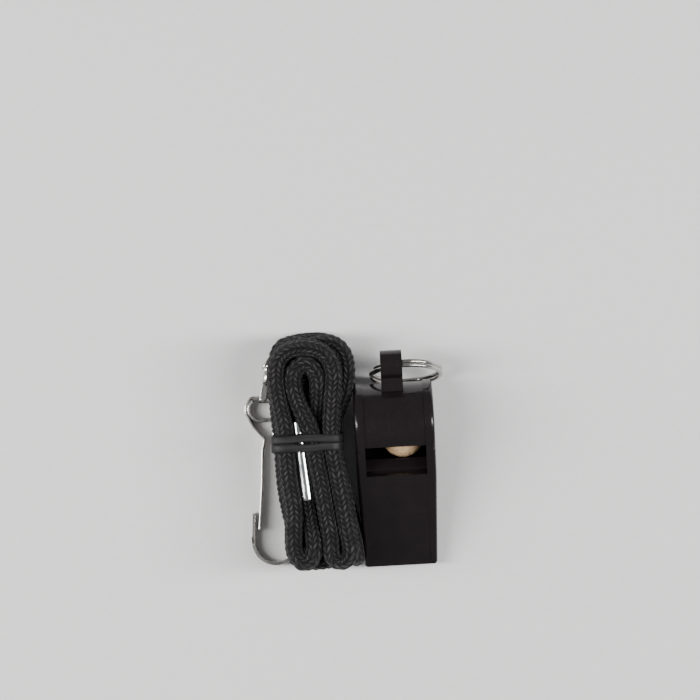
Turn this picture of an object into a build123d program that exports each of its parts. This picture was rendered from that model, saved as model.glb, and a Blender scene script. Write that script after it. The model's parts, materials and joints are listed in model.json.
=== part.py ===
"""Pea whistle with its split ring and a folded neck lanyard with a swivel hook.

Units are millimetres. +Z is up and the floor is z = 0. The whistle lies on the
rims of its two side plates and on the tip of its mouthpiece, window upwards.
X runs across the whistle, and the mouthpiece points towards -Y. The origin is
on the floor, under the middle of the box around the whistle and its ring.
The lanyard lies on the floor beside the whistle, on its -X side.
"""

from build123d import *
from math import asin, atan2, cos, degrees, hypot, radians, sin
import os

# ---- driving dimensions: whistle ------------------------------------------
plate_radius = 9.8           # rim of the side plates
chamber_step = 0.35          # how far the rim stands proud of the chamber wall
chamber_wall = 1.1
inner_width = 14.2           # chamber and window, between the side plates
plate_thickness = 2.2
plate_edge = 0.8             # rounding of the plates' outer edges
mouth_reach = 32.9           # from the chamber's axis to the mouth, along the mouthpiece
mouth_top = 8.9              # top of the mouthpiece above the chamber's axis, at the mouth
root_top = 9.3               # the same, at the chamber
mouth_thickness = 4.6        # height of the mouthpiece at the mouth
root_thickness = 7.6         # height of the mouthpiece where it meets the chamber
mouth_narrowing = 0.75       # each side is this much narrower at the mouth
lip_length = 0.9             # raised lip round the mouth
lip_height = 0.25
window_back = 2.1            # straight edge of the window, ahead of the chamber's axis
window_front = 9.2           # end of the windway, ahead of the chamber's axis
windway_roof = 1.3
windway_width = 11.6
windway_height_mouth = 2.1
windway_height_root = 1.6
ramp_depth = 2.0             # the ramp between the windway's floor and the chamber
lug_width = 5.0
lug_reach = 14.9             # from the chamber's axis to the ring hole
lug_tilt = -1.0              # below the mouthpiece's line, degrees
lug_radius = 3.4
lug_hole_radius = 1.95
lug_hole_flare = 0.7
lug_neck = 4.8               # height of the lug's neck
root_drop = 1.5              # the mouthpiece's underside drops this much towards the chamber's axis
roof_drop = 1.0              # the same for its top, which the chamber's crown hides
window_lean = 0.15           # the window's back edge leans back towards the top
edge_start = 0.2             # the bevel behind the window starts this far ahead of its edge
edge_bevel = 0.9             # and ends this far behind it
past = 1.0                   # cuts run this far past the faces that they open

# ---- driving dimensions: pea and split ring --------------------------------
pea_radius = 4.95
pea_clearance = 0.15         # between the pea and the chamber's wall
pea_offset = 1.9             # towards +X from the middle of the chamber
pea_drop = 8.0               # the pea rests this many degrees below the chamber's axis
ring_radius = 8.65           # outside
ring_wire = 1.0              # thickness of each turn, in the ring's plane
ring_width = 1.9             # both turns
ring_groove = 0.15           # line between the turns
ring_offset = 3.4            # the ring has slid this far towards +X in the lug
ring_gap = 0.05              # between the ring and what it leans on

# ---- driving dimensions: lanyard -------------------------------------------
cord_diameter = 4.0
hank_layers = 5              # runs of cord on each other
hank_settling = 0.1          # the layers press into each other by this much in all
lanyard_spacing = 8.95       # from the whistle's side to the hank's middle
hank_underside = 0.05
ferrule_wall = 0.6
ferrule_squeeze = 0.1        # the crimp presses the cord's radius in by this much
ferrule_edge = 0.2
ferrule_length = 18.6
ferrule_drop = 4.95          # its middle below the top of the hank
ferrule_tilt = 4.3           # degrees from the hank's length
ferrule_x = -3.6
ferrule_y = -7.6
band_thickness = 1.0
band_strand = 1.9            # width of each of the two strands
band_gap = 0.25
band_y = -3.45               # middle of the band along the hank
band_left = -10.7            # outside faces of the band
band_right = 6.4
band_low = 0.1
band_rise = 0.15             # slack between the hank's top and the band
band_fold = 3.0              # length of the fold between the two strands
band_fold_drop = 4.95        # its middle below the top of the hank
hook_room = 0.7              # free height above the hook, under the hank's edge

# ---- driving dimensions: swivel hook ---------------------------------------
hook_strip = 4.2             # width of the strip, which stands on its edge
hook_thickness = 0.8
gate_thickness = 0.6
coil_x = -12.9
coil_y = 4.7
coil_inner = 2.35            # radius of the hole in the coil
coil_clearance = 0.07        # between the coil and the gate's root
coil_start = 300             # the coil runs from here round to the leg, degrees
leg_straight = 7.3           # from the coil's middle to the leg's first bend
leg_rise = 4.6               # from the round bottom's middle to the leg's second bend
leg_inset = 0.3              # the second bend is this far inside the round bottom
leg_bends = (9.0, 8.0)       # radii
root_start = 125             # the gate's root runs round the coil between these, degrees
root_end = 200
gate_route = [(-2.0, -3.9), (0.6, -7.0), (-0.1, -9.8), (-0.6, -17.5), (-1.75, -28.4)]
gate_bends = (2.0, 1.2, 6.0, 30.0)
throat_x = -11.0             # middle of the hook's round bottom
throat_y = -26.6
throat_radius = 5.25         # to the middle of the strip
tip_length = 6.9
tip_lean = 0.5
swing_low = 20.0             # the coil turns this far in the yoke, degrees
swing_high = 2.0
waist_margin = 14.0          # degrees of waist left on each side of the yoke
waist_half = 0.8             # half height of the coil inside the yoke
swivel_angle = 76.0          # direction of the rivet, from +X
yoke_strip = 0.65
yoke_width = 1.6
yoke_clearance = 0.15
yoke_inset = 0.25            # between the yoke's bar and the hole in the coil
yoke_corner = 0.9
yoke_reach = 6.65            # from the coil's middle to the end of the yoke
rivet_radius = 0.55
rivet_clearance = 0.06
rivet_neck = 0.9             # radius of the shoulder between yoke and bail
rivet_head = 1.1
rivet_foot = 0.6             # height of the rivet's foot inside the yoke
head_height = 0.9
head_dome = 0.6
bail_wire = 1.0              # diameter
bail_bend = 1.2
bail_seat = 9.6              # from the coil's middle to the bail's eye
bail_eye = 1.45              # outside radius of the eye round the rivet
eye_thickness = 0.8
rivet_play = 0.15            # along the rivet, on each side of the eye
# the bail's wire, from the middle of its eye and above the hook's middle
bail_route = [
    (-1.15, 0.3, 0.0), (-0.1, 2.3, 0.9), (2.1, 5.2, 2.7), (7.0, 3.1, 2.7), (2.8, 0.9, 0.9), (1.15, -0.3, 0.0),
]

os.makedirs("parts", exist_ok=True)

# ---- worked out from the driving dimensions --------------------------------
chamber_radius = plate_radius - chamber_step
chamber_inner = chamber_radius - chamber_wall
overall_width = inner_width + 2 * plate_thickness
mouth_bottom = mouth_top - mouth_thickness
root_bottom = root_top - root_thickness
tip_low = mouth_bottom - lip_height
pitch = asin(plate_radius / hypot(mouth_reach, tip_low)) + atan2(tip_low, mouth_reach)

mouth_y = -mouth_reach * cos(pitch) - (mouth_top + lip_height) * sin(pitch)
lug_angle = pitch + radians(lug_tilt)
lug_y = lug_reach * cos(lug_angle)
lug_z = plate_radius + lug_reach * sin(lug_angle)
ring_reach = ring_offset + ring_radius
chamber_x = -(ring_reach - overall_width / 2) / 2
chamber_y = -(mouth_y + lug_y + lug_radius) / 2

# The whistle's profiles are drawn looking along -X: the first direction runs
# back along the mouthpiece, the second up from its top face.
side = Plane(
    origin=(chamber_x, chamber_y, plate_radius),
    x_dir=(0, cos(pitch), sin(pitch)),
    z_dir=(1, 0, 0),
)
inner_side = side.offset(-inner_width / 2)


def on_circle(radius, y):
    """Upper point of a circle round the chamber's axis, at the place y along the mouthpiece."""
    return (y, (radius**2 - y**2) ** 0.5)


def roof_height(y):
    """Top face of the mouthpiece above the chamber's axis."""
    return root_top + (root_top - mouth_top) * (y + window_front) / (mouth_reach - window_front)


def floor_height(y):
    """Underside of the mouthpiece above the chamber's axis."""
    share = (-y - window_front) / (mouth_reach - window_front)
    return root_bottom + (mouth_bottom - root_bottom) * share


# ---- whistle body: chamber wall, lug, windway and mouthpiece ----------------
roof_at_front = roof_height(-window_front)
windway_top_root = roof_at_front - windway_roof
windway_top_mouth = mouth_top - windway_roof
windway_floor_root = windway_top_root - windway_height_root
windway_floor_mouth = windway_top_mouth - windway_height_mouth
lug_direction = (cos(radians(lug_tilt)), sin(radians(lug_tilt)))
lug_centre = (lug_reach * lug_direction[0], lug_reach * lug_direction[1])

with BuildPart() as whistle_body:
    with BuildSketch(inner_side):
        Circle(chamber_radius)
        with BuildLine():
            Polyline(
                (0, root_bottom - root_drop),
                (-window_front, root_bottom),
                (-mouth_reach, mouth_bottom),
                (-mouth_reach, mouth_top),
                (-window_front, roof_at_front),
                (0, roof_at_front - roof_drop),
                close=True,
            )
        make_face()
    extrude(amount=inner_width)
    # lip round the mouth, above and below
    with BuildSketch(inner_side):
        with BuildLine():
            Polyline(
                (-mouth_reach, mouth_bottom - lip_height),
                (-mouth_reach, mouth_top + lip_height),
                (-mouth_reach + lip_length, roof_height(-mouth_reach + lip_length)),
                (-mouth_reach + lip_length, floor_height(-mouth_reach + lip_length)),
                close=True,
            )
        make_face()
    extrude(amount=inner_width)
    # lug for the split ring
    with BuildSketch(side.offset(-lug_width / 2)):
        with Locations(lug_centre):
            Circle(lug_radius)
        with Locations(Location((lug_centre[0] / 2, lug_centre[1] / 2, 0), (0, 0, lug_tilt))):
            Rectangle(lug_reach, lug_neck)
    extrude(amount=lug_width)
    # chamber, open towards the window
    with BuildSketch(inner_side):
        Circle(chamber_inner)
    extrude(amount=inner_width, mode=Mode.SUBTRACT)
    # window: the sharp edge, the opening and the ramp
    with BuildSketch(inner_side):
        with BuildLine():
            Polyline(
                on_circle(chamber_inner, -window_back),
                (-window_back - window_lean, root_top + 2 * past),
                (-window_front, root_top + 2 * past),
                (-window_front, windway_floor_root),
                on_circle(chamber_inner, -window_front + ramp_depth),
                close=True,
            )
        make_face()
    extrude(amount=inner_width, mode=Mode.SUBTRACT)
    with BuildSketch(inner_side):
        with BuildLine():
            Polyline(
                (-window_back - edge_start, chamber_inner),
                (-window_back - edge_start, root_top + past),
                (-window_back + edge_bevel, root_top + past),
                close=True,
            )
        make_face()
    extrude(amount=inner_width, mode=Mode.SUBTRACT)
    # windway
    with BuildSketch(side.offset(-windway_width / 2)):
        with BuildLine():
            Polyline(
                (-window_front + past, windway_floor_root),
                (-window_front + past, windway_top_root),
                (-mouth_reach - past, windway_top_mouth),
                (-mouth_reach - past, windway_floor_mouth),
                close=True,
            )
        make_face()
    extrude(amount=windway_width, mode=Mode.SUBTRACT)
    # ring hole, flared at both ends
    with BuildSketch(side.offset(-lug_width / 2)):
        with Locations(lug_centre):
            Circle(lug_hole_radius)
    extrude(amount=lug_width, mode=Mode.SUBTRACT)
    hole_rims = (
        whistle_body.edges()
        .filter_by(GeomType.CIRCLE)
        .filter_by(lambda edge: abs(edge.radius - lug_hole_radius) < 0.001)
    )
    chamfer(hole_rims, lug_hole_flare)
whistle_body.part.label = "whistle_body"
export_step(whistle_body.part, "parts/whistle_body.step")


# ---- side plates ------------------------------------------------------------
def side_plate(direction):
    """One glued-on side plate; direction is +1 for the +X side, -1 for the other."""
    outer_face = direction * (inner_width / 2 + plate_thickness)
    with BuildPart() as plate:
        with BuildSketch(side.offset(direction * inner_width / 2)):
            Circle(plate_radius)
            with BuildLine():
                Polyline(
                    (0, 0),
                    (-window_front, root_bottom),
                    (-mouth_reach, mouth_bottom - lip_height),
                    (-mouth_reach, mouth_top + lip_height),
                    (-window_front, roof_at_front),
                    (0, roof_at_front),
                    close=True,
                )
            make_face()
        extrude(amount=direction * plate_thickness)
        # the mouthpiece grows narrower towards the mouth
        with BuildSketch(Plane(origin=side.origin, x_dir=side.x_dir, z_dir=-side.z_dir.cross(side.x_dir))):
            with BuildLine():
                Polyline(
                    (-plate_radius, outer_face),
                    (-mouth_reach - past, outer_face - direction * mouth_narrowing),
                    (-mouth_reach - past, outer_face + direction * past),
                    (-plate_radius, outer_face + direction * past),
                    close=True,
                )
            make_face()
        extrude(amount=4 * plate_radius, both=True, mode=Mode.SUBTRACT)
        outside = plate.faces().filter_by(lambda face: face.normal_at().X * direction > 0.9)
        edges = outside.edges()
        rim = edges.filter_by(lambda edge: sum(edge.is_same(other) for other in edges) == 1)
        fillet(rim, plate_edge)
    return plate.part


right_side_plate = side_plate(1)
right_side_plate.label = "right_side_plate"
export_step(right_side_plate, "parts/right_side_plate.step")

left_side_plate = side_plate(-1)
left_side_plate.label = "left_side_plate"
export_step(left_side_plate, "parts/left_side_plate.step")

# ---- cork pea ---------------------------------------------------------------
pea_orbit = chamber_inner - pea_radius - pea_clearance
pea_y = chamber_y - pea_orbit * cos(radians(pea_drop))
pea_z = plate_radius - pea_orbit * sin(radians(pea_drop))
with BuildPart() as cork_pea:
    with Locations((chamber_x + pea_offset, pea_y, pea_z)):
        Sphere(pea_radius)
cork_pea.part.label = "cork_pea"
export_step(cork_pea.part, "parts/cork_pea.step")

# ---- split ring ---------------------------------------------------------------
# The ring hangs from the lug and its lower edge stands on the floor, unless it
# meets the side plates' rims first. Its plane holds the X direction.
ring_middle = ring_radius - ring_wire / 2
hang = (ring_middle**2 - ring_offset**2) ** 0.5
rim_slope = lug_angle + asin((plate_radius + ring_width / 2 + ring_gap) / lug_reach)
foot_reach = hypot(hang + ring_radius, ring_width / 2)
foot_angle = atan2(ring_width / 2, hang + ring_radius)
floor_slope = asin(min(1.0, (lug_z - ring_gap) / foot_reach)) - foot_angle
ring_slope = max(rim_slope, floor_slope)
ring_down = Vector(0, -cos(ring_slope), -sin(ring_slope))
ring_centre = Vector(chamber_x + ring_offset, chamber_y + lug_y, lug_z) + ring_down * hang
ring_plane = Plane(origin=ring_centre, x_dir=(1, 0, 0), z_dir=(0, -sin(ring_slope), cos(ring_slope)))
ring_section = Plane(origin=ring_centre, x_dir=(1, 0, 0), z_dir=ring_down)

with BuildPart() as split_ring:
    with BuildSketch(ring_section):
        with Locations((ring_middle, 0)):
            Rectangle(ring_wire, ring_width)
        with Locations((ring_radius, 0), (ring_radius - ring_wire, 0)):
            Rectangle(2 * ring_groove, 2 * ring_groove, 45, mode=Mode.SUBTRACT)
    revolve(axis=Axis(ring_centre, ring_plane.z_dir), revolution_arc=360)
split_ring.part.label = "split_ring"
export_step(split_ring.part, "parts/split_ring.step")

# ---- lanyard: folded cord -----------------------------------------------------
# Places on the lanyard are measured from the hank's middle, level with the
# chamber's axis.
lanyard_x = chamber_x - overall_width / 2 - lanyard_spacing
lanyard_y = chamber_y
lanyard_floor = Plane(origin=(lanyard_x, lanyard_y, 0))
hank_height = hank_layers * cord_diameter - hank_settling
hank_top = hank_underside + hank_height

with BuildPart() as lanyard_hank:
    with BuildSketch(lanyard_floor.offset(hank_underside)):
        with BuildLine():
            FilletPolyline(
                (-9.0, 11.0),
                (-8.8, 20.6),
                (-5.5, 22.3),
                (-1.0, 20.8),
                (6.0, 21.6),
                (9.4, 15.5),
                (6.3, 2.0),
                (6.4, -8.0),
                (8.6, -20.0),
                (8.4, -31.5),
                (2.0, -32.8),
                (-7.2, -31.8),
                (-8.4, -24.0),
                (-8.1, -14.0),
                (-10.1, -4.0),
                (-9.0, 1.0),
                radius=(1, 3, 1.5, 1.5, 3.5, 4, 4, 4, 4, 3, 3, 3.5, 2.5, 4, 1.5, 1),
                close=True,
            )
        make_face()
    extrude(amount=hank_height)
    # room for the hook, which lies under the hank's edge
    with BuildSketch(lanyard_floor):
        with BuildLine():
            Polyline(
                (-15, -36), (-4.0, -36), (-4.0, -24), (-8.2, -5), (-8.6, 8), (-7.5, 16), (-15, 16),
                close=True,
            )
        make_face()
    extrude(amount=hook_strip + hook_room, mode=Mode.SUBTRACT)
lanyard_hank.part.label = "lanyard_hank"
export_step(lanyard_hank.part, "parts/lanyard_hank.step")

# ---- crimp ferrule that joins the cord's two ends ------------------------------
ferrule_bore = cord_diameter / 2 - ferrule_squeeze
ferrule_run = radians(90 - ferrule_tilt)
ferrule_plane = Plane(
    origin=(lanyard_x + ferrule_x, lanyard_y + ferrule_y, hank_top - ferrule_drop),
    z_dir=(-cos(ferrule_run), sin(ferrule_run), 0),
)
with BuildPart() as crimp_ferrule:
    with BuildSketch(ferrule_plane):
        Circle(ferrule_bore + ferrule_wall)
        Circle(ferrule_bore, mode=Mode.SUBTRACT)
    extrude(amount=ferrule_length / 2, both=True)
    fillet(crimp_ferrule.edges().filter_by(GeomType.CIRCLE), ferrule_edge)
crimp_ferrule.part.label = "crimp_ferrule"
export_step(crimp_ferrule.part, "parts/crimp_ferrule.step")

# ---- rubber band, wound twice round the hank -----------------------------------
band_pitch = band_strand + band_gap
band_top = hank_top + band_thickness + band_rise
with BuildPart() as rubber_band:
    for turn in (-0.5, 0.5):
        band_plane = Plane(
            origin=(lanyard_x, lanyard_y + band_y + turn * band_pitch, 0), x_dir=(1, 0, 0), z_dir=(0, -1, 0)
        )
        with BuildSketch(band_plane):
            with BuildLine():
                FilletPolyline(
                    (band_left, band_top),
                    (band_right, band_top),
                    (band_right, band_low),
                    (-4.2, band_low),
                    (band_left, 7.4),
                    radius=(3.0, 3.0, 3.0, 4.0, 3.0),
                    close=True,
                )
            make_face()
            offset(amount=-band_thickness, mode=Mode.SUBTRACT)
        extrude(amount=band_strand / 2, both=True)
    # the fold that carries the band from one strand to the other
    fold_middle = (lanyard_x + band_left, lanyard_y + band_y, hank_top - band_fold_drop)
    with BuildSketch(Plane(origin=fold_middle, z_dir=(1, 0, 0))):
        Rectangle(band_pitch, band_fold)
    extrude(amount=band_thickness)
rubber_band.part.label = "rubber_band"
export_step(rubber_band.part, "parts/rubber_band.step")

# ---- swivel hook ------------------------------------------------------------------
coil_middle = coil_inner + hook_thickness / 2
coil_outer = coil_inner + hook_thickness
hook_level = hook_strip / 2
coil_centre = (coil_x, coil_y)
leg_x = coil_x + coil_middle

yoke_spread = degrees(asin(yoke_width / 2 / coil_inner))
waist_start = swivel_angle - swing_high - yoke_spread - waist_margin
waist_sweep = swing_low + swing_high + 2 * (yoke_spread + waist_margin)


def round_coil(radius, angle):
    """Point of a circle round the coil's middle, at an angle in degrees from +X."""
    return (coil_x + radius * cos(radians(angle)), coil_y + radius * sin(radians(angle)))


with BuildPart() as hook_body:
    with BuildSketch(lanyard_floor):
        with BuildLine():
            CenterArc(coil_centre, coil_middle, coil_start, -coil_start)
            FilletPolyline(
                (leg_x, coil_y),
                (leg_x, coil_y - leg_straight),
                (throat_x + throat_radius - leg_inset, throat_y + leg_rise),
                (throat_x + throat_radius, throat_y),
                radius=leg_bends,
            )
            CenterArc((throat_x, throat_y), throat_radius, 0, -180)
            Line(
                (throat_x - throat_radius, throat_y),
                (throat_x - throat_radius + tip_lean, throat_y + tip_length),
            )
        trace(line_width=hook_thickness)
    extrude(amount=hook_strip)
    # waist of the coil, where the yoke goes round it
    with BuildSketch(lanyard_floor, lanyard_floor.offset(hook_level + waist_half)):
        with BuildLine():
            CenterArc(coil_centre, coil_outer + past, waist_start, waist_sweep)
            Line(coil_centre, round_coil(coil_outer + past, waist_start))
            Line(coil_centre, round_coil(coil_outer + past, waist_start + waist_sweep))
        make_face()
    extrude(amount=hook_level - waist_half, mode=Mode.SUBTRACT)
hook_body.part.label = "hook_body"
export_step(hook_body.part, "parts/hook_body.step")

root_radius = coil_outer + coil_clearance + gate_thickness / 2
with BuildPart() as hook_gate:
    with BuildSketch(lanyard_floor):
        with BuildLine():
            CenterArc(coil_centre, root_radius, root_start, root_end - root_start)
            FilletPolyline(
                round_coil(root_radius, root_end),
                *[(coil_x + across, coil_y + along) for across, along in gate_route],
                radius=gate_bends,
            )
        trace(line_width=gate_thickness)
    extrude(amount=hook_strip)
hook_gate.part.label = "hook_gate"
export_step(hook_gate.part, "parts/hook_gate.step")

# ---- yoke, rivet and bail ------------------------------------------------------------
swivel_dir = Vector(cos(radians(swivel_angle)), sin(radians(swivel_angle)), 0)
coil_point = Vector(lanyard_x + coil_x, lanyard_y + coil_y, hook_level)
yoke_plane = Plane(
    origin=coil_point,
    x_dir=swivel_dir,
    z_dir=(swivel_dir.Y, -swivel_dir.X, 0),
)
rivet_plane = Plane(origin=coil_point, z_dir=swivel_dir)

yoke_half = waist_half + yoke_clearance + yoke_strip
yoke_start = coil_inner - yoke_inset - yoke_strip
yoke_plate = yoke_reach - yoke_strip
with BuildPart() as swivel_yoke:
    with BuildSketch(yoke_plane):
        with Locations(((yoke_start + yoke_reach) / 2, 0)):
            RectangleRounded(yoke_reach - yoke_start, 2 * yoke_half, yoke_corner)
            Rectangle(
                yoke_reach - yoke_start - 2 * yoke_strip,
                2 * (yoke_half - yoke_strip),
                mode=Mode.SUBTRACT,
            )
    extrude(amount=yoke_width / 2, both=True)
    with BuildSketch(rivet_plane.offset(yoke_plate)):
        Circle(rivet_radius)
    extrude(amount=yoke_strip, mode=Mode.SUBTRACT)
swivel_yoke.part.label = "swivel_yoke"
export_step(swivel_yoke.part, "parts/swivel_yoke.step")

shoulder_end = bail_seat - eye_thickness / 2 - rivet_play
head_start = bail_seat + eye_thickness / 2 + rivet_play
with BuildPart() as swivel_rivet:
    with BuildSketch(rivet_plane.offset(yoke_plate - rivet_foot)):
        Circle(waist_half)
    extrude(amount=rivet_foot)
    with BuildSketch(rivet_plane.offset(yoke_plate)):
        Circle(rivet_radius)
    extrude(amount=head_start - yoke_plate)
    with BuildSketch(rivet_plane.offset(yoke_reach)):
        Circle(rivet_neck)
    extrude(amount=shoulder_end - yoke_reach)
    with BuildSketch(rivet_plane.offset(head_start)):
        Circle(rivet_head)
    extrude(amount=head_height)
    dome = swivel_rivet.faces().filter_by(GeomType.PLANE).sort_by(Axis(coil_point, swivel_dir))[-1]
    fillet(dome.edges(), head_dome)
swivel_rivet.part.label = "swivel_rivet"
export_step(swivel_rivet.part, "parts/swivel_rivet.step")

# The bail is a bent wire with an eye that turns on the rivet. It rises from the
# eye and its end bar lies in the cord's fold.
eye_x = coil_x + bail_seat * swivel_dir.X
eye_y = coil_y + bail_seat * swivel_dir.Y
bail_points = [(eye_x + across, eye_y + along, hook_level + up) for across, along, up in bail_route]
with BuildPart() as swivel_bail:
    with BuildLine(lanyard_floor) as bail_line:
        FilletPolyline(*bail_points, radius=bail_bend)
    with BuildSketch(Plane(origin=bail_line.line @ 0, z_dir=bail_line.line % 0)):
        Circle(bail_wire / 2)
    sweep()
    with BuildSketch(rivet_plane.offset(bail_seat - eye_thickness / 2)):
        Circle(bail_eye)
    extrude(amount=eye_thickness)
    with BuildSketch(rivet_plane.offset(shoulder_end - rivet_play)):
        Circle(rivet_head + rivet_clearance)
    extrude(amount=rivet_play * 2, mode=Mode.SUBTRACT)
    with BuildSketch(rivet_plane.offset(head_start - rivet_play)):
        Circle(rivet_head + rivet_clearance)
    extrude(amount=head_height + 3 * rivet_play, mode=Mode.SUBTRACT)
    with BuildSketch(rivet_plane.offset(shoulder_end)):
        Circle(rivet_radius + rivet_clearance)
    extrude(amount=head_start - shoulder_end, mode=Mode.SUBTRACT)
swivel_bail.part.label = "swivel_bail"
export_step(swivel_bail.part, "parts/swivel_bail.step")

print(f"pitch {degrees(pitch):.2f}, chamber axis at ({chamber_x:.3f}, {chamber_y:.3f}, {plate_radius})")
print(f"lug hole at ({chamber_x:.3f}, {chamber_y + lug_y:.3f}, {lug_z:.3f})")
print(f"ring slope {degrees(ring_slope):.2f}")
print(f"lanyard at ({lanyard_x:.3f}, {lanyard_y:.3f})")
print(f"coil at ({coil_point.X:.3f}, {coil_point.Y:.3f}, {coil_point.Z:.3f})")
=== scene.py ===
"""Looks of a pea whistle with a split ring and a folded lanyard with a swivel hook.

Everything is in metres in the row frame. Routes and outlines are written in
millimetres from the hank's middle, as on the lanyard itself, and mm() turns them
into row-frame metres.
"""

import json
from math import asin, cos, pi, radians, sin

import bmesh
import bpy
import numpy as np
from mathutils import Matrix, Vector, noise


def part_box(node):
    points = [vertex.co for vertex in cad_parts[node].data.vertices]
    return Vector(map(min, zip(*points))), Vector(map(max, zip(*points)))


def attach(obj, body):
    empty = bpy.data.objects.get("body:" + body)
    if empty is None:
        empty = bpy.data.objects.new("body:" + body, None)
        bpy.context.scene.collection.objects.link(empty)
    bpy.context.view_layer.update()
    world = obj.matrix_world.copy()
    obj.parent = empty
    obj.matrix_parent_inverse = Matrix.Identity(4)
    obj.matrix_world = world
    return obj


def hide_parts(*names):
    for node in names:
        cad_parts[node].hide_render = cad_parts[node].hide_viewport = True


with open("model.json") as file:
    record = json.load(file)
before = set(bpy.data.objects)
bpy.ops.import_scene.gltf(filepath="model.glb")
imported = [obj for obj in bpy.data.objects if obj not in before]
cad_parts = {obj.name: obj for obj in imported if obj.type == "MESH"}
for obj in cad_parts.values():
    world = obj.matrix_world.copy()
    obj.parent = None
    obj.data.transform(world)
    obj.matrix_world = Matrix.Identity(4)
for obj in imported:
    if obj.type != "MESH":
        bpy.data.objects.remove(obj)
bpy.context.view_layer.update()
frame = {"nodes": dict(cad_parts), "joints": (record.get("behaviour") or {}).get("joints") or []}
MM = 0.001

# ---- places from the frame ---------------------------------------------------
joints = {joint["name"]: joint for joint in frame["joints"]}
CHAMBER = Vector(joints["pea_roll"]["pos_m"])
COIL = Vector(joints["hook_swing"]["pos_m"])
COIL_ON_LANYARD = (-12.9, 4.7)       # the coil's middle from the hank's middle, mm
HANK = Vector((COIL.x - COIL_ON_LANYARD[0] * MM, COIL.y - COIL_ON_LANYARD[1] * MM, 0))

CORD = 4.0                           # cord diameter, mm
LAYERS = (2.18, 6.05, 10.05, 14.0, 18.0)   # heights of the five layers' middles, mm
FERRULE = ((-4.30, 1.67, 15.0), (-2.90, -16.87, 15.0))   # middles of its two ends, mm

CAMERA_HEIGHT, WIDTH_SEEN, SENSOR = 0.8, 0.166, 36       # m, m at floor level, mm
CAMERA_OFFSET, CAMERA_TURN = (-0.00934, 0.01757), -3.1   # m from the chamber's middle, degrees


def mm(point):
    """A point on the lanyard, in millimetres, as a row-frame point in metres."""
    return HANK + Vector(point) * MM


# ---- camera ------------------------------------------------------------------
def make_camera():
    """Straight down over the object and turned a little, so that the whistle leans."""
    data = bpy.data.cameras.new("camera")
    data.sensor_width = SENSOR
    data.lens = SENSOR * CAMERA_HEIGHT / WIDTH_SEEN
    camera = bpy.data.objects.new("camera", data)
    camera.location = (CHAMBER.x + CAMERA_OFFSET[0], CHAMBER.y + CAMERA_OFFSET[1], CAMERA_HEIGHT)
    camera.rotation_euler = (0, 0, radians(CAMERA_TURN))
    bpy.context.scene.collection.objects.link(camera)
    bpy.context.scene.camera = camera


make_camera()


# ---- cord route ----------------------------------------------------------------
# Places of the four columns of runs across the hank, left to right, at its top,
# at the rubber band and at its lower end.
COLUMNS = {"top": (-7.4, -3.7, 3.4, 7.4), "band": (-7.4, -3.9, -0.2, 3.4), "low": (-6.3, -2.0, 2.3, 6.6)}
STATIONS = (-24.0, -17.5, -10.5, -3.5, 3.0, 9.5)   # places along a run
BAND_Y = -3.5
LEAST_BEND = 3.6                     # radius that a fold opens up to where there is room, mm
BULGE = 0.35                         # a round end is this much wider than its two runs
BEND_STEPS = 6                       # parts that a round end is drawn in
FERRULE_ROOM = 4.4                   # from the ferrule's axis to a run's middle, mm

# How the folded cord settles; lengths in mm.
PASSES, SAMPLES_PER_SPAN = 170, 5
SHOWN_ABOVE, SHOWN_HOLD, HIDDEN_HOLD = 16.5, 0.10, 0.012   # runs in sight keep their place better
OWN_NEIGHBOURS, OWN_ENDS = 9.5, 7    # stretches of the cord that don't push each other apart
PUSH, EASE, FOLLOW = 0.5, 1.6, 0.8   # strength of each kind of step
BAND_REACH, BAND_SIDES = 4, (-8.0, 3.6)
HANK_SIDES, HANK_ENDS = (-8.9, 8.1), (-31.2, 20.6)
STRIP_EDGE = ((-36, -24, -5, 8, 15), (-4.0, -4.0, -8.2, -8.6, -8.2))   # the hook's right edge: y, x
STRIP_TOP, STRIP_MIDDLE, STRIP_STEP = 6.3, 4, 0.25
CORD_RESOLUTION, BAND_RESOLUTION = 40, 10


def run(column, height, up):
    """One straight run of the hank, in one column and layer."""
    top, band, low = (COLUMNS[place][column] for place in ("top", "band", "low"))
    points = []
    for y in STATIONS:
        if y < BAND_Y:
            share = (BAND_Y - y) / (BAND_Y - STATIONS[0])
            x = band + (low - band) * share
        else:
            share = (y - BAND_Y) / (STATIONS[-1] - BAND_Y)
            x = band + (top - band) * share
        points.append((x, y, height))
    return points if up else points[::-1]


def bend(start, end, place, reach, z_start, z_end):
    """A round end between two columns; reach is how far it goes past the runs' ends."""
    a, b = COLUMNS[place][start], COLUMNS[place][end]
    y_run = STATIONS[-1] if place == "top" else STATIONS[0]
    points = []
    for step in range(1, BEND_STEPS):
        angle = pi * step / BEND_STEPS
        x = (a + b) / 2 + (a - b) / 2 * cos(angle) * (1 + BULGE * sin(angle))
        points.append((x, y_run + reach * sin(angle), z_start + (z_end - z_start) * step / BEND_STEPS))
    return points


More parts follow.
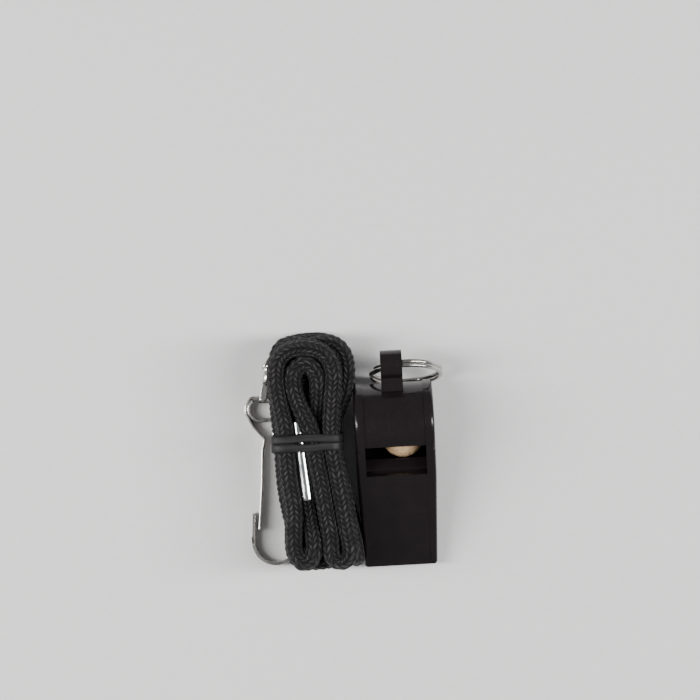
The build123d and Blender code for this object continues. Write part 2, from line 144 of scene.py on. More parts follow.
def cord_route():
    """The whole cord, from the ferrule's upper end round the hank to its lower end."""
    one, two, three, four, _ = LAYERS
    route = [FERRULE[0], (-4.5, 4.5, 14.6), (-4.4, 8.5, 13.9)]
    route += [(-3.4, 12.0, 13.2), (0.2, 14.2, 12.2), (3.3, 11.6, 11.0)]
    route += run(2, three, up=False) + bend(2, 1, "low", -4.0, three, three)
    route += run(1, three, up=True) + bend(1, 2, "top", 5.0, three, two)
    route += run(2, two, up=False) + bend(2, 1, "low", -3.4, two, one)
    route += run(1, one, up=True) + bend(1, 2, "top", 5.0, one, one)
    route += run(2, one, up=False) + bend(2, 1, "low", -7.0, one, two)
    route += run(1, two, up=True) + bend(1, 3, "top", 8.6, two, two)
    route += run(3, two, up=False) + bend(3, 0, "low", -7.2, 7.6, 7.2)
    # up the left side, down through the bail and round the top at floor level
    route += [(-6.2, -21.0, 6.6), (-6.4, -12.0, 6.4), (-7.2, -3.5, 6.3), (-7.3, 4.5, 6.3)]
    route += [(-7.0, 10.5, 6.0), (-7.0, 14.6, 4.9), (-6.4, 17.8, 2.6), (-4.7, 20.0, 2.1)]
    route += [(-1.0, 20.2, 2.05), (3.2, 20.1, 2.05), (6.5, 17.8, 2.05), (7.5, 13.6, 2.05)]
    route += run(3, one, up=False)
    # the turn at the lower right, from the floor up to the third layer
    route += [(6.7, -27.8, 2.1), (6.8, -30.6, 3.6), (6.8, -31.0, 6.4), (6.8, -30.4, 9.0), (6.6, -27.4, 10.0)]
    route += run(3, three, up=True) + bend(3, 0, "top", 9.6, three, three)
    route += run(0, three, up=False) + bend(0, 3, "low", -7.0, 10.6, 12.6)
    # up the right side, round the outer arch below the top one and down the left side
    route += run(3, four, up=True)[:4]
    route += [(5.0, 3.0, 14.0), (6.7, 7.0, 14.0), (8.0, 12.6, 14.0), (7.4, 17.4, 14.0), (4.2, 19.9, 14.0)]
    route += [(0.3, 18.9, 14.0), (-2.9, 18.7, 13.9), (-5.7, 20.6, 13.8), (-8.1, 17.4, 13.8)]
    route += [(-8.1, 12.4, 13.8), (-7.9, 6.5, 13.8)]
    route += [(-8.1, 0.5, 13.9), (-8.1, -6.0, 13.9), (-7.7, -12.5, 13.9), (-7.0, -19.0, 13.9)]
    route += [(-6.2, -25.0, 13.9), (-3.4, -29.6, 13.9), (0.4, -29.9, 13.9), (2.3, -26.0, 13.9)]
    # right leg of the inner arch, the arch, and the middle run on top
    route += [(2.2, -18.5, 14.0), (1.2, -11.0, 14.0), (0.0, -3.5, 14.2), (0.6, 3.0, 15.2), (1.5, 8.6, 16.8)]
    route += [(1.4, 12.6, 17.8), (-1.7, 15.7, 18.0), (-4.9, 12.8, 18.0), (-4.9, 8.4, 18.0), (-3.6, 3.5, 18.0)]
    route += [(-1.6, -1.0, 18.0), (-0.2, -7.5, 18.0), (0.75, -14.0, 18.0), (1.5, -20.5, 18.0)]
    route += [(2.1, -26.0, 18.0)]
    route += [(1.8, -29.2, 17.7), (3.0, -31.5, 16.6), (5.4, -31.5, 16.6), (6.8, -29.2, 17.7)]
    # right run, outer arch and left run on top
    route += [(5.95, -24.4, 18.0), (5.35, -19.0, 18.0), (4.7, -13.0, 18.0), (4.1, -6.7, 18.0)]
    route += [(3.4, -0.8, 18.0)]
    route += [(3.8, 6.2, 18.0), (4.6, 12.7, 18.0), (3.3, 17.2, 18.0), (-0.9, 18.8, 18.0), (-5.4, 18.6, 18.0)]
    route += [(-8.3, 16.0, 18.0), (-8.7, 11.5, 18.0), (-8.2, 6.6, 18.0), (-7.1, 1.0, 18.0)]
    route += [(-7.2, -6.0, 18.0)]
    route += [(-6.9, -12.5, 18.0), (-6.0, -18.5, 18.0), (-6.5, -24.5, 18.0), (-6.6, -28.6, 17.8)]
    route += [(-4.9, -31.4, 17.2), (-2.1, -31.0, 16.3), (-0.9, -27.4, 15.4), (-2.2, -22.5, 15.0), FERRULE[1]]
    return route


def spline_weights(count, per_span):
    """Weights that turn control points into points of a quadratic spline with fixed ends."""
    spans = count - 2
    knots = np.concatenate([[0, 0], np.arange(spans + 1), [spans, spans]]).astype(float)
    places = np.linspace(0, spans - 1e-9, spans * per_span)
    weights = np.zeros((len(places), count))
    for row, t in enumerate(places):
        k = int(t) + 2
        left, mid, right = knots[k - 1], knots[k], knots[k + 1]
        a = (t - left) / (right - left)
        b = (t - mid) / (knots[k + 2] - mid)
        c = (t - mid) / (right - mid)
        weights[row, k - 2] = (1 - c) * (1 - a)
        weights[row, k - 1] = (1 - c) * a + c * (1 - b)
        weights[row, k] = c * b
    return weights


def push_out_of_ferrule(points, ends):
    """Moves points away from the ferrule's axis, except at the cord's own two ends."""
    top, bottom = np.array(FERRULE)
    axis = bottom - top
    share = np.clip((points - top) @ axis / (axis @ axis), 0, 1)
    offset = points - (top + share[:, None] * axis)
    gap = np.linalg.norm(offset, axis=1)
    near = (gap < FERRULE_ROOM) & ~ends & (share > 0.001) & (share < 0.999)
    step = np.zeros_like(points)
    step[near] = offset[near] / gap[near, None] * (FERRULE_ROOM - gap[near, None])
    return step


def open_up_bends(points):
    """Steps that flatten a line wherever it bends more tightly than a fold should."""
    before, here, after = points[:-4], points[2:-2], points[4:]
    half = np.linalg.norm(after - before, axis=1) / 2
    inward = (before + after) / 2 - here
    sag = np.linalg.norm(inward, axis=1) + 1e-9
    allowed = LEAST_BEND - np.sqrt(np.maximum(LEAST_BEND**2 - half**2, 0))
    ease = inward / sag[:, None] * np.maximum(sag - allowed, 0)[:, None]
    step = np.zeros_like(points)
    step[2:-2] += ease * EASE
    step[:-4] -= ease * (EASE / 2)
    step[4:] -= ease * (EASE / 2)
    return step


def distances_along(points):
    """How far along its line each point lies."""
    return np.concatenate([[0], np.cumsum(np.linalg.norm(np.diff(points, axis=0), axis=1))])


def keep_inside(moved):
    """Holds the points above the floor, inside the band and the hank, and off the hook's strip."""
    moved[:, 2] = np.clip(moved[:, 2], LAYERS[0], LAYERS[-1] + 0.1)
    band = np.abs(moved[:, 1] - BAND_Y) < BAND_REACH
    moved[band, 0] = np.clip(moved[band, 0], *BAND_SIDES)
    moved[:, 0] = np.clip(moved[:, 0], *HANK_SIDES)
    moved[:, 1] = np.clip(moved[:, 1], *HANK_ENDS)
    strip = np.interp(moved[:, 1], *STRIP_EDGE)
    over_strip = (moved[:, 0] < strip + CORD / 2) & (moved[:, 1] < STRIP_EDGE[0][-1])
    blocked = over_strip & (moved[:, 2] < STRIP_TOP)
    moved[blocked & (moved[:, 2] >= STRIP_MIDDLE), 2] += STRIP_STEP
    moved[blocked & (moved[:, 2] < STRIP_MIDDLE), 0] += STRIP_STEP


def settle(route):
    """Lets the folded cord find room: runs push each other apart to a diameter, inside
    the space that the band, the floor, the hook and the hank's outline leave them."""
    control = np.array(route, float)
    start = control.copy()
    weights = spline_weights(len(control), SAMPLES_PER_SPAN)
    spread = weights.T / weights.sum(0)[:, None]
    hold = np.where(start[:, 2] > SHOWN_ABOVE, SHOWN_HOLD, HIDDEN_HOLD)[:, None]
    for _ in range(PASSES):
        points = weights @ control
        along = distances_along(points)
        delta = points[:, None, :] - points[None, :, :]
        gap = np.sqrt((delta**2).sum(2)) + 1e-9
        near = (gap < CORD) & (np.abs(along[:, None] - along[None, :]) > OWN_NEIGHBOURS)
        step = (delta * (near * (CORD - gap) / gap)[:, :, None]).sum(1) * PUSH
        step /= np.maximum(near.sum(1), 1)[:, None] ** 0.5
        ends = (along < OWN_ENDS) | (along > along[-1] - OWN_ENDS)
        step += push_out_of_ferrule(points, ends) + open_up_bends(points)
        moved = points + step
        keep_inside(moved)
        control[1:-1] += (spread @ (moved - points))[1:-1] * FOLLOW
        control[1:-1] += ((start - control) * hold)[1:-1]
    return control


def nurbs_line(name, control, resolution, closed=False):
    """The points along a NURBS spline, in row-frame metres, in order."""
    data = bpy.data.curves.new(name, "CURVE")
    data.dimensions = "3D"
    spline = data.splines.new("NURBS")
    spline.points.add(len(control) - 1)
    for place, point in zip(spline.points, control):
        place.co = (*mm(point), 1)
    spline.order_u = 3
    spline.use_endpoint_u = not closed
    spline.use_cyclic_u = closed
    spline.resolution_u = resolution
    curve = bpy.data.objects.new(name, data)
    mesh = bpy.data.meshes.new_from_object(curve)
    points = np.array([vertex.co for vertex in mesh.vertices])
    bpy.data.meshes.remove(mesh)
    bpy.data.objects.remove(curve)
    return points


def at_even_steps(points, spacing):
    """Points every so many metres along a line, with the rest of its length shared out."""
    along = distances_along(points)
    places = np.linspace(0, along[-1], max(2, round(along[-1] / spacing)))
    return np.stack([np.interp(places, along, points[:, k]) for k in range(3)], 1), places


# ---- mesh helpers ------------------------------------------------------------------
def new_piece(name, vertices, faces, uvs=None):
    """A smooth mesh object; uvs holds one (u, v) for each corner."""
    mesh = bpy.data.meshes.new(name)
    mesh.from_pydata([tuple(v) for v in vertices], [], faces)
    mesh.polygons.foreach_set("use_smooth", [True] * len(mesh.polygons))
    if uvs is not None:
        layer = mesh.uv_layers.new(name="UVMap")
        layer.data.foreach_set("uv", np.array(uvs, float).ravel())
    mesh.update()
    piece = bpy.data.objects.new(name, mesh)
    bpy.context.scene.collection.objects.link(piece)
    return piece


def faces_round(rows, around, closed=False):
    """Four-sided faces between rows of points; a closed piece joins its last row to its first."""
    faces = []
    for i in range(rows if closed else rows - 1):
        for j in range(around):
            k, n = (j + 1) % around, (i + 1) % rows
            faces.append((i * around + j, i * around + k, n * around + k, n * around + j))
    return faces


def end_faces(rows, around):
    """The two faces that close a tube."""
    last = (rows - 1) * around
    return [tuple(range(around))[::-1], tuple(range(last, last + around))]


def sides_along(points):
    """Two directions across an open line at each point, without twist from one to the next."""
    ahead = np.roll(points, -1, 0) - np.roll(points, 1, 0)
    ahead[0], ahead[-1] = points[1] - points[0], points[-1] - points[-2]
    ahead /= np.linalg.norm(ahead, axis=1)[:, None]
    side = np.cross(ahead[0], (0, 0, 1.0))
    sides = []
    for direction in ahead:
        side = side - direction * (side @ direction)
        side = side / np.linalg.norm(side)
        sides.append(side)
    sides = np.array(sides)
    return sides, np.cross(ahead, sides)


def tube(name, points, places, radius_at, around):
    """A tube whose radius is radius_at(angle, place), both arrays, in metres."""
    side, lift = sides_along(points)
    angle = np.arange(around) * 2 * pi / around
    radius = radius_at(angle[None, :], places[:, None])
    ring = side[:, None, :] * np.cos(angle)[None, :, None] + lift[:, None, :] * np.sin(angle)[None, :, None]
    vertices = (points[:, None, :] + ring * radius[:, :, None]).reshape(-1, 3)
    uvs = []
    for here, ahead in zip(places[:-1], places[1:]):
        for j in range(around):
            left, right = j / around, (j + 1) / around
            uvs += [(left, here), (right, here), (right, ahead), (left, ahead)]
    uvs += [(0, 0)] * (2 * around)
    return new_piece(name, vertices, faces_round(len(points), around) + end_faces(len(points), around), uvs)


def lathe(name, profile, base, direction, around, dent):
    """A turned piece: profile is a closed list of (radius, height) in millimetres, and
    dent(angle, height, radius) is what is added to the radius."""
    direction = Vector(direction).normalized()
    side = direction.cross(Vector((0, 0, 1))).normalized()
    lift = side.cross(direction)
    vertices = []
    for radius, height in profile:
        for j in range(around):
            angle = 2 * pi * j / around
            r = radius + dent(angle, height, radius)
            out = side * cos(angle) + lift * sin(angle)
            vertices.append(base + (direction * height + out * r) * MM)
    piece = new_piece(name, vertices, faces_round(len(profile), around, closed=True))
    clean(piece)
    return piece


def clean(piece):
    """Welds what coincides and turns the faces outwards."""
    mesh = bmesh.new()
    mesh.from_mesh(piece.data)
    bmesh.ops.remove_doubles(mesh, verts=mesh.verts, dist=1e-7)
    bmesh.ops.recalc_face_normals(mesh, faces=mesh.faces)
    mesh.to_mesh(piece.data)
    mesh.free()


# ---- materials -------------------------------------------------------------------
class Paint:
    """A node material with short calls for the nodes that the finishes share."""

    def __init__(self, name, **sockets):
        self.material = bpy.data.materials.new(name)
        self.material.use_nodes = True
        self.nodes, self.links = self.material.node_tree.nodes, self.material.node_tree.links
        self.shader = self.nodes["Principled BSDF"]
        for socket, value in sockets.items():
            self.shader.inputs[socket.replace("_", " ")].default_value = value
        self.place = self.nodes.new("ShaderNodeTexCoord")

    def join(self, value, socket):
        if isinstance(value, bpy.types.NodeSocket):
            self.links.new(value, socket)
        else:
            socket.default_value = value

    def math(self, operation, a, b=0.0):
        node = self.nodes.new("ShaderNodeMath")
        node.operation = operation
        self.join(a, node.inputs[0])
        self.join(b, node.inputs[1])
        return node.outputs[0]

    def noise(self, scale, detail=4.0, stretch=(1, 1, 1)):
        mapping = self.nodes.new("ShaderNodeMapping")
        mapping.inputs["Scale"].default_value = stretch
        self.links.new(self.place.outputs["Object"], mapping.inputs["Vector"])
        node = self.nodes.new("ShaderNodeTexNoise")
        node.inputs["Scale"].default_value = scale
        node.inputs["Detail"].default_value = detail
        self.links.new(mapping.outputs[0], node.inputs["Vector"])
        return node.outputs["Fac"]

    def cells(self, scale):
        node = self.nodes.new("ShaderNodeTexVoronoi")
        node.inputs["Scale"].default_value = scale
        self.links.new(self.place.outputs["Object"], node.inputs["Vector"])
        return node.outputs["Distance"]

    def ramp(self, value, low, high, out_low, out_high):
        node = self.nodes.new("ShaderNodeMapRange")
        limits = {"From Min": low, "From Max": high, "To Min": out_low, "To Max": out_high}
        for socket, number in limits.items():
            node.inputs[socket].default_value = number
        self.join(value, node.inputs["Value"])
        return node.outputs["Result"]

    def mix(self, share, first, second):
        node = self.nodes.new("ShaderNodeMix")
        node.data_type = "RGBA"
        self.join(share, node.inputs["Factor"])
        self.join(first, node.inputs[6])
        self.join(second, node.inputs[7])
        return node.outputs[2]

    def uv(self):
        node = self.nodes.new("ShaderNodeSeparateXYZ")
        self.links.new(self.place.outputs["UV"], node.inputs[0])
        return node.outputs[0], node.outputs[1]

    def bump(self, height, distance, strength=1.0, under=None):
        node = self.nodes.new("ShaderNodeBump")
        node.inputs["Distance"].default_value = distance
        node.inputs["Strength"].default_value = strength
        self.join(height, node.inputs["Height"])
        if under is not None:
            self.links.new(under, node.inputs["Normal"])
        return node.outputs[0]

    def finish(self, colour, roughness, normal=None):
        self.join(colour, self.shader.inputs["Base Color"])
        self.join(roughness, self.shader.inputs["Roughness"])
        if normal is not None:
            self.links.new(normal, self.shader.inputs["Normal"])
        return self.material


def plastic():
    """Glossy black injection-moulded plastic with faint mottling, specks and rub marks."""
    paint = Paint("whistle_plastic", IOR=1.46, Specular_IOR_Level=0.42)
    mottle = paint.noise(260, 3)
    rubs = paint.noise(900, 5, (1, 0.12, 1))
    specks = paint.ramp(paint.cells(1400), 0.03, 0.10, 1, 0)
    colour = paint.mix(mottle, (0.0062, 0.0046, 0.0050, 1), (0.0115, 0.0086, 0.0094, 1))
    colour = paint.mix(paint.math("MULTIPLY", specks, 0.5), colour, (0.10, 0.09, 0.09, 1))
    rubbed, dusty = paint.ramp(rubs, 0.35, 0.75, 0.12, 0.24), paint.math("MULTIPLY", specks, 0.1)
    roughness = paint.math("ADD", rubbed, dusty)
    peel = paint.bump(paint.noise(420, 2), 0.000008, 0.4)
    return paint.finish(colour, roughness, paint.bump(rubs, 0.000012, 0.6, peel))


def cork():
    """Pale agglomerated cork with dark pores."""
    paint = Paint("cork", Specular_IOR_Level=0.25)
    grain = paint.noise(620, 6)
    pores = paint.ramp(paint.cells(520), 0.05, 0.26, 1, 0)
    spots = paint.ramp(paint.noise(1300, 2), 0.60, 0.70, 0, 1)
    colour = paint.mix(grain, (0.45, 0.27, 0.125, 1), (0.76, 0.55, 0.34, 1))
    colour = paint.mix(paint.math("MULTIPLY", spots, 0.75), colour, (0.17, 0.085, 0.04, 1))
    colour = paint.mix(paint.math("MULTIPLY", pores, 0.35), colour, (0.22, 0.12, 0.055, 1))
    normal = paint.bump(paint.math("SUBTRACT", grain, paint.math("MULTIPLY", pores, 0.6)), 0.0003, 0.8)
    return paint.finish(colour, paint.ramp(grain, 0.3, 0.7, 0.75, 0.95), normal)


def metal(name, colour, low, high, stretch):
    """Plated steel with faint scratches that run one way, and clouding."""
    paint = Paint(name, Metallic=1.0)
    scratches = paint.noise(1500, 4, stretch)
    cloud = paint.noise(180, 3)
    dark = tuple(0.72 * part for part in colour)
    shade = paint.mix(paint.ramp(cloud, 0.35, 0.7, 0, 1), (*dark, 1), (*colour, 1))
    roughness = paint.ramp(paint.math("ADD", scratches, cloud), 0.7, 1.3, low, high)
    return paint.finish(shade, roughness, paint.bump(scratches, 0.000012, 0.5))


BRAID_COLUMNS, BRAID_PITCH, BRAID_SLANT = 5, 0.00134, 1.1
BRAID_WOBBLE, WOBBLE_PER_METRE = 0.12, 1370.0    # uneven stitches: share of a stitch, and radians


def braid():
    """Black polyester braid: columns of V stitches, each a bundle of fine yarns; painted highlight on the
    crowns, painted shade in the hollows.
    """
    paint = Paint("braided_cord", Sheen_Weight=0.02, Specular_IOR_Level=0.3)
    around, along = paint.uv()
    across = paint.math("FRACT", paint.math("MULTIPLY", around, BRAID_COLUMNS))
    arm = paint.math("MULTIPLY", paint.math("ABSOLUTE", paint.math("SUBTRACT", across, 0.5)), 2)
    wobble = paint.math("SINE", paint.math("MULTIPLY", along, WOBBLE_PER_METRE))
    rows, slant = paint.math("DIVIDE", along, BRAID_PITCH), paint.math("MULTIPLY", arm, BRAID_SLANT)
    steps = paint.math("ADD", paint.math("ADD", rows, slant), paint.math("MULTIPLY", wobble, BRAID_WOBBLE))
    stitch = paint.math("ABSOLUTE", paint.math("SINE", paint.math("MULTIPLY", steps, pi)))
    crown = paint.math("SINE", paint.math("MULTIPLY", arm, pi))
    relief = paint.math("MULTIPLY", paint.math("POWER", stitch, 0.6), paint.math("ADD", crown, 0.35))
    yarns = paint.math("ABSOLUTE", paint.math("SINE", paint.math("MULTIPLY", steps, pi * 4)))
    fuzz = paint.noise(3800, 2)
    height = paint.math("ADD", relief, paint.math("ADD", paint.math("MULTIPLY", yarns, 0.16),
                                                  paint.math("MULTIPLY", fuzz, 0.18)))
    # painted highlight: the stitch crowns are coloured lighter and the hollows stay dark as painted shade;
    # random patches and the yarn fuzz make it uneven from stitch to stitch
    highlight_patches = paint.ramp(paint.noise(620, 2), 0.38, 0.62, 0.25, 1.0)
    painted_highlight = paint.math("MULTIPLY", paint.ramp(relief, 0.62, 1.32, 0, 1), paint.ramp(fuzz, 0.3, 0.7, 0.55, 1.0))
    painted_highlight = paint.math("MULTIPLY", painted_highlight, highlight_patches)
    # near-black is the cord's own black, deepened into painted shade in the hollows; the lighter grey is the
    # painted highlight on the crowns
    colour = paint.mix(painted_highlight, (0.0005, 0.0004, 0.0005, 1), (0.072, 0.064, 0.066, 1))
    return paint.finish(colour, paint.ramp(fuzz, 0.3, 0.7, 0.5, 0.75), paint.bump(height, 0.0005, 1.0))


def rubber():
    """Black rubber with fine lines along the band and dusty patches."""
    paint = Paint("band_rubber", Specular_IOR_Level=0.25)
    lines = paint.noise(1900, 4, (0.04, 1, 0.04))
    dust = paint.noise(320, 4)
    dark, worn = (0.0035, 0.0033, 0.0036, 1), (0.017, 0.016, 0.017, 1)
    colour = paint.mix(paint.ramp(lines, 0.35, 0.7, 0, 1), dark, worn)
    colour = paint.mix(paint.ramp(dust, 0.6, 0.8, 0, 0.25), colour, (0.03, 0.029, 0.03, 1))
    return paint.finish(colour, paint.ramp(dust, 0.3, 0.7, 0.42, 0.62), paint.bump(lines, 0.00006, 0.8))


def backing():
    """Plain pale paper floor with a barely visible tooth."""
    paint = Paint("floor_paper", Specular_IOR_Level=0.15)
    tooth = paint.noise(700, 3)
    colour = paint.mix(tooth, (0.74, 0.73, 0.72, 1), (0.80, 0.79, 0.78, 1))
    return paint.finish(colour, paint.ramp(tooth, 0.3, 0.7, 0.8, 0.9), paint.bump(tooth, 0.00005, 0.3))


PLASTIC, CORK, BRAID, RUBBER = plastic(), cork(), braid(), rubber()
RING_STEEL = metal("ring_steel", (0.62, 0.60, 0.57), 0.12, 0.28, (1, 1, 0.1))
CHROME = metal("ferrule_chrome", (0.86, 0.86, 0.87), 0.05, 0.16, (1, 0.06, 1))
HOOK_STEEL = metal("hook_steel", (0.60, 0.58, 0.55), 0.12, 0.28, (1, 0.08, 1))


def place_piece(piece, body, slot, material, *nodes):
    """Gives a new piece its finish, the body it moves with and the nodes it stands for."""
    piece.data.materials.clear()
    piece.data.materials.append(material)
    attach(piece, body)
    if nodes:
        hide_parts(*nodes)


# ---- whistle -------------------------------------------------------------------
def finish_node(name, material, bevel):
    """A CAD node keeps its shape; its edges are broken by a small radius, in metres."""
    node = frame["nodes"][name]
    node.data.materials.clear()
    node.data.materials.append(material)
    if not bevel:
        return
    weld = node.modifiers.new("weld", "WELD")
    weld.merge_threshold = 2e-6
    edge = node.modifiers.new("edge", "BEVEL")
    edge.width, edge.segments, edge.limit_method, edge.angle_limit = bevel, 2, "ANGLE", radians(35)
    edge.harden_normals = True


def make_pea():
    """A cork ball, ground roughly round, with pores in its skin."""
    low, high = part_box("cork_pea")
    middle, radius = (low + high) / 2, (high.x - low.x) / 2
    mesh = bmesh.new()
    bmesh.ops.create_icosphere(mesh, subdivisions=6, radius=1)
    for vertex in mesh.verts:
        out = vertex.co.normalized()
        swell = 0.016 * noise.noise(out * 3.1) + 0.012 * noise.noise(out * 9.0)
        pore = max(0.0, noise.noise(out * 21.0) - 0.28) * 0.05
        vertex.co = middle + out * radius * (0.982 + swell - pore)
    data = bpy.data.meshes.new("pea")
    mesh.to_mesh(data)
    mesh.free()
    data.polygons.foreach_set("use_smooth", [True] * len(data.polygons))
    pea = bpy.data.objects.new("pea", data)
    bpy.context.scene.collection.objects.link(pea)
    place_piece(pea, "pea", "cork", CORK, "cork_pea")


def make_ring():
    """A split ring: two turns of half-round wire, with a step where the turns change place."""
    low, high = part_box("split_ring")
    radius = (high.x - low.x) / 2 - 0.0005
    across, thick, wide = (high.x + low.x) / 2, 0.00050, 0.00046
    centre = Vector((across, (low.y + high.y) / 2, (low.z + high.z) / 2))
    slope = asin(min(1.0, (high.z - low.z) / (high.x - low.x) * 0.97))
    down = Vector((0, -cos(slope), -sin(slope)))
    normal = Vector((0, -sin(slope), cos(slope)))
    steps, turns, begin = 300, 1.94, radians(205)
    centres, spine = [], []
    for i in range(steps + 1):
        turn = turns * i / steps
        angle = begin + 2 * pi * turn
        # the wire stays in its own plane, and steps across in the short overlap between turns
        shift = max(0.0, min(1.0, (turn - 0.86) / 0.16))
        shift = shift * shift * (3 - 2 * shift)
        level = (-1 + 2 * shift) * (wide + 0.00002)
        out = Vector((1, 0, 0)) * cos(angle) + down * sin(angle)
        centres.append(centre + out * radius + normal * level)
        spine.append(out)
    around = 20
    vertices = []
    for i, (point, out) in enumerate(zip(centres, spine)):
        taper = min(1.0, 0.45 + 12 * min(i, steps - i) / steps)
        for j in range(around):
            angle = 2 * pi * j / around
            x, y = cos(angle), sin(angle)
            square = (abs(x) ** 3.2 + abs(y) ** 3.2) ** (-1 / 3.2)
            vertices.append(point + (out * x * thick + normal * y * wide) * square * taper)
    faces = faces_round(steps + 1, around) + end_faces(steps + 1, around)
    ring = new_piece("split_ring_wire", vertices, faces)
    clean(ring)
    place_piece(ring, "ring", "ring_steel", RING_STEEL, "split_ring")


# ---- lanyard --------------------------------------------------------------------
CORD_STEP, CORD_SIDES = 0.00021, 24          # how finely the braid is drawn along, in m, and round
STITCH_HEIGHT, STITCH_SINK = 0.00019, 0.12   # m, and mm from the cord's radius to its mean radius


def braid_radius(angle, place):
    """The cord's radius: V stitches stand out from its mean radius."""
    across = (angle * BRAID_COLUMNS / (2 * pi)) % 1.0
    arm = np.abs(across - 0.5) * 2
    steps = place / BRAID_PITCH + BRAID_SLANT * arm + BRAID_WOBBLE * np.sin(place * WOBBLE_PER_METRE)
    stitch = np.abs(np.sin(steps * pi)) ** 0.7
    return (CORD / 2 - STITCH_SINK) * MM + STITCH_HEIGHT * stitch * (0.45 + np.sin(arm * pi))


def make_cord():
    """The braided cord, its line worked out once and its braid laid round it."""
    line = nurbs_line("cord_line", settle(cord_route()), CORD_RESOLUTION)
    points, places = at_even_steps(line, CORD_STEP)
    cord = tube("lanyard_cord", points, places, braid_radius, CORD_SIDES)
    place_piece(cord, "lanyard", "braided_cord", BRAID, "lanyard_hank")
    return cord, points, places[-1]


def make_ferrule():
    """A chromed tube with rolled ends, crimped from below."""
    top, bottom = mm(FERRULE[0]), mm(FERRULE[1])
    length = (bottom - top).length / MM
    outer, inner, roll = 2.5, 1.95, 0.28
    profile = []
    for i in range(9):
        angle = pi / 2 * i / 8
        profile.append((outer - roll + roll * sin(angle), roll - roll * cos(angle)))
    for i in range(1, 40):
        profile.append((outer, roll + (length - 2 * roll) * i / 40))
    for i in range(9):
        angle = pi / 2 * i / 8
        profile.append((outer - roll + roll * cos(angle), length - roll + roll * sin(angle)))
    profile += [(inner, length), (inner, 0)]

    def crimp(angle, height, radius):
        if radius < outer - 0.01:
            return 0
        dents = sum(max(0, 1 - ((height - place) / 0.9) ** 2) for place in (3.4, 9.3, 15.2))
        return -0.14 * dents * max(0, -sin(angle)) ** 2

    ferrule = lathe("ferrule_tube", profile, top, bottom - top, 72, crimp)
    place_piece(ferrule, "lanyard", "ferrule_chrome", CHROME, "crimp_ferrule")
    return ferrule


# The rubber band; lengths in mm.
BAND_SHIFT, STRAND_PITCH = 0.05, 1.90
STRAND_HALF_WIDTH, STRAND_HALF_THICKNESS, STRAND_SQUARENESS = 0.98, 0.42, 6
PARTING, PARTING_X, PARTING_REACH, DRIFT = 0.24, 2.2, 3.8, 0.10


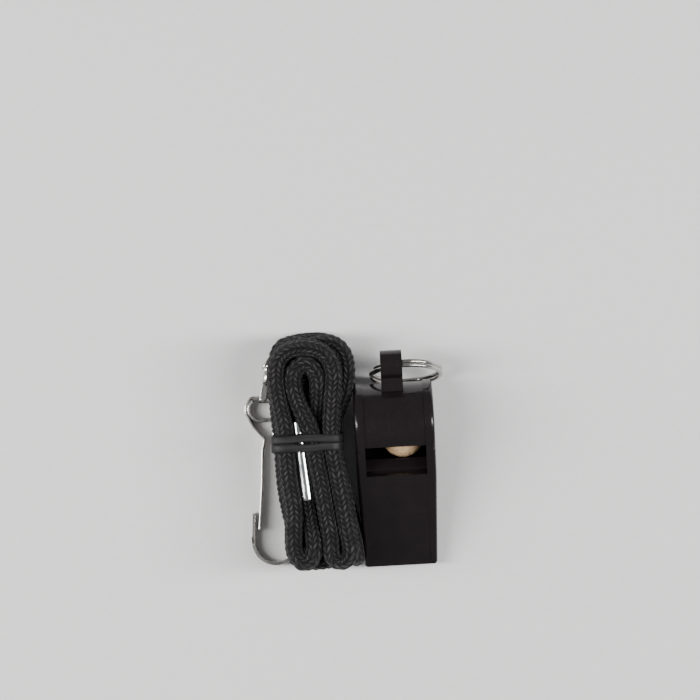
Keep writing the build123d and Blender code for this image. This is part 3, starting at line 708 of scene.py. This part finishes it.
def make_band():
    """A rubber band doubled round the hank: two flat strands that sag between the runs."""
    outline = [(-9.9, 20.3), (-7.2, 20.85), (-3.8, 20.5), (-0.6, 20.75), (2.2, 20.6)]
    outline += [(4.6, 20.4), (5.8, 19.0), (5.95, 15.0), (5.95, 8.0), (5.8, 1.8), (4.4, 0.65)]
    outline += [(0.0, 0.6), (-3.6, 0.7), (-6.4, 3.2)]
    outline += [(-9.3, 6.4), (-10.1, 9.4), (-10.2, 14.0), (-10.2, 18.6)]
    control = [(x, BAND_Y + BAND_SHIFT, z) for x, z in outline]
    line = nurbs_line("band_line", control, BAND_RESOLUTION, closed=True)
    count, around = len(line), 20
    ahead = np.roll(line, -1, 0) - np.roll(line, 1, 0)
    ahead /= np.linalg.norm(ahead, axis=1)[:, None]
    out = np.cross(ahead, (0, 1.0, 0))
    if (out * (line - line.mean(0))).sum() < 0:
        out = -out
    strands = []
    for strand in (-0.5, 0.5):
        vertices = []
        for i in range(count):
            turn = i / count
            across = (line[i][0] - HANK.x) / MM
            parting = PARTING * max(0, 1 - ((across + PARTING_X) / PARTING_REACH) ** 2)
            drift = DRIFT * sin(2 * pi * turn * 2 + 1) + strand * 2 * parting
            for j in range(around):
                angle = 2 * pi * j / around
                x, y = cos(angle), sin(angle)
                rounded = abs(x) ** STRAND_SQUARENESS + abs(y) ** STRAND_SQUARENESS
                square = rounded ** (-1 / STRAND_SQUARENESS)
                y_mm = strand * STRAND_PITCH + drift + y * square * STRAND_HALF_WIDTH
                point = line[i] + out[i] * x * square * STRAND_HALF_THICKNESS * MM
                vertices.append((point[0], point[1] + y_mm * MM, point[2]))
        faces = faces_round(count, around, closed=True)
        piece = new_piece(f"band_strand_{'upper' if strand > 0 else 'lower'}", vertices, faces)
        clean(piece)
        place_piece(piece, "lanyard", "band_rubber", RUBBER)
        strands.append(piece)
    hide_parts("rubber_band")
    return strands


# ---- build -----------------------------------------------------------------------
for node_name in ("whistle_body", "left_side_plate", "right_side_plate"):
    finish_node(node_name, PLASTIC, 0)
for node_name in ("hook_body", "hook_gate", "swivel_yoke", "swivel_rivet", "swivel_bail"):
    finish_node(node_name, HOOK_STEEL, 0.0002)

make_pea()
make_ring()
cord, cord_points, cord_length = make_cord()
ferrule = make_ferrule()
band = make_band()
print("cord length", round(float(cord_length), 4))


# ---- floor and light ---------------------------------------------------------------
FLOOR_HALF = 1.6                     # m
# name, place, size and watts of each soft light
LIGHTS = (
    ("left", (-0.52, 0.03, 0.62), (0.12, 0.62), 7),
    ("right", (0.52, 0.0, 0.62), (0.12, 0.62), 7),
    ("low_left", (-0.8, 0.1, 0.2), (0.3, 0.5), 2.0),
)
AIM = Vector((CHAMBER.x, CHAMBER.y, 0.01))
SKY, SKY_STRENGTH = (0.86, 0.88, 0.9, 1), 0.3


def make_floor():
    """A plain square that the object lies on."""
    mesh = bpy.data.meshes.new("floor")
    half = FLOOR_HALF
    corners = [(-half, -half, 0), (half, -half, 0), (half, half, 0), (-half, half, 0)]
    mesh.from_pydata(corners, [], [(0, 1, 2, 3)])
    floor = bpy.data.objects.new("floor", mesh)
    floor.data.materials.append(backing())
    bpy.context.scene.collection.objects.link(floor)


def softbox(name, place, size, watts):
    """A rectangular soft light that faces the object."""
    light = bpy.data.lights.new(name, "AREA")
    light.shape, light.size, light.size_y, light.energy = "RECTANGLE", size[0], size[1], watts
    lamp = bpy.data.objects.new(name, light)
    lamp.location = place
    lamp.rotation_euler = (AIM - Vector(place)).to_track_quat("-Z", "Y").to_euler()
    bpy.context.scene.collection.objects.link(lamp)


make_floor()
for light in LIGHTS:
    softbox(*light)
world = bpy.data.worlds.new("studio")
world.use_nodes = True
world.node_tree.nodes["Background"].inputs["Color"].default_value = SKY
world.node_tree.nodes["Background"].inputs["Strength"].default_value = SKY_STRENGTH
bpy.context.scene.world = world
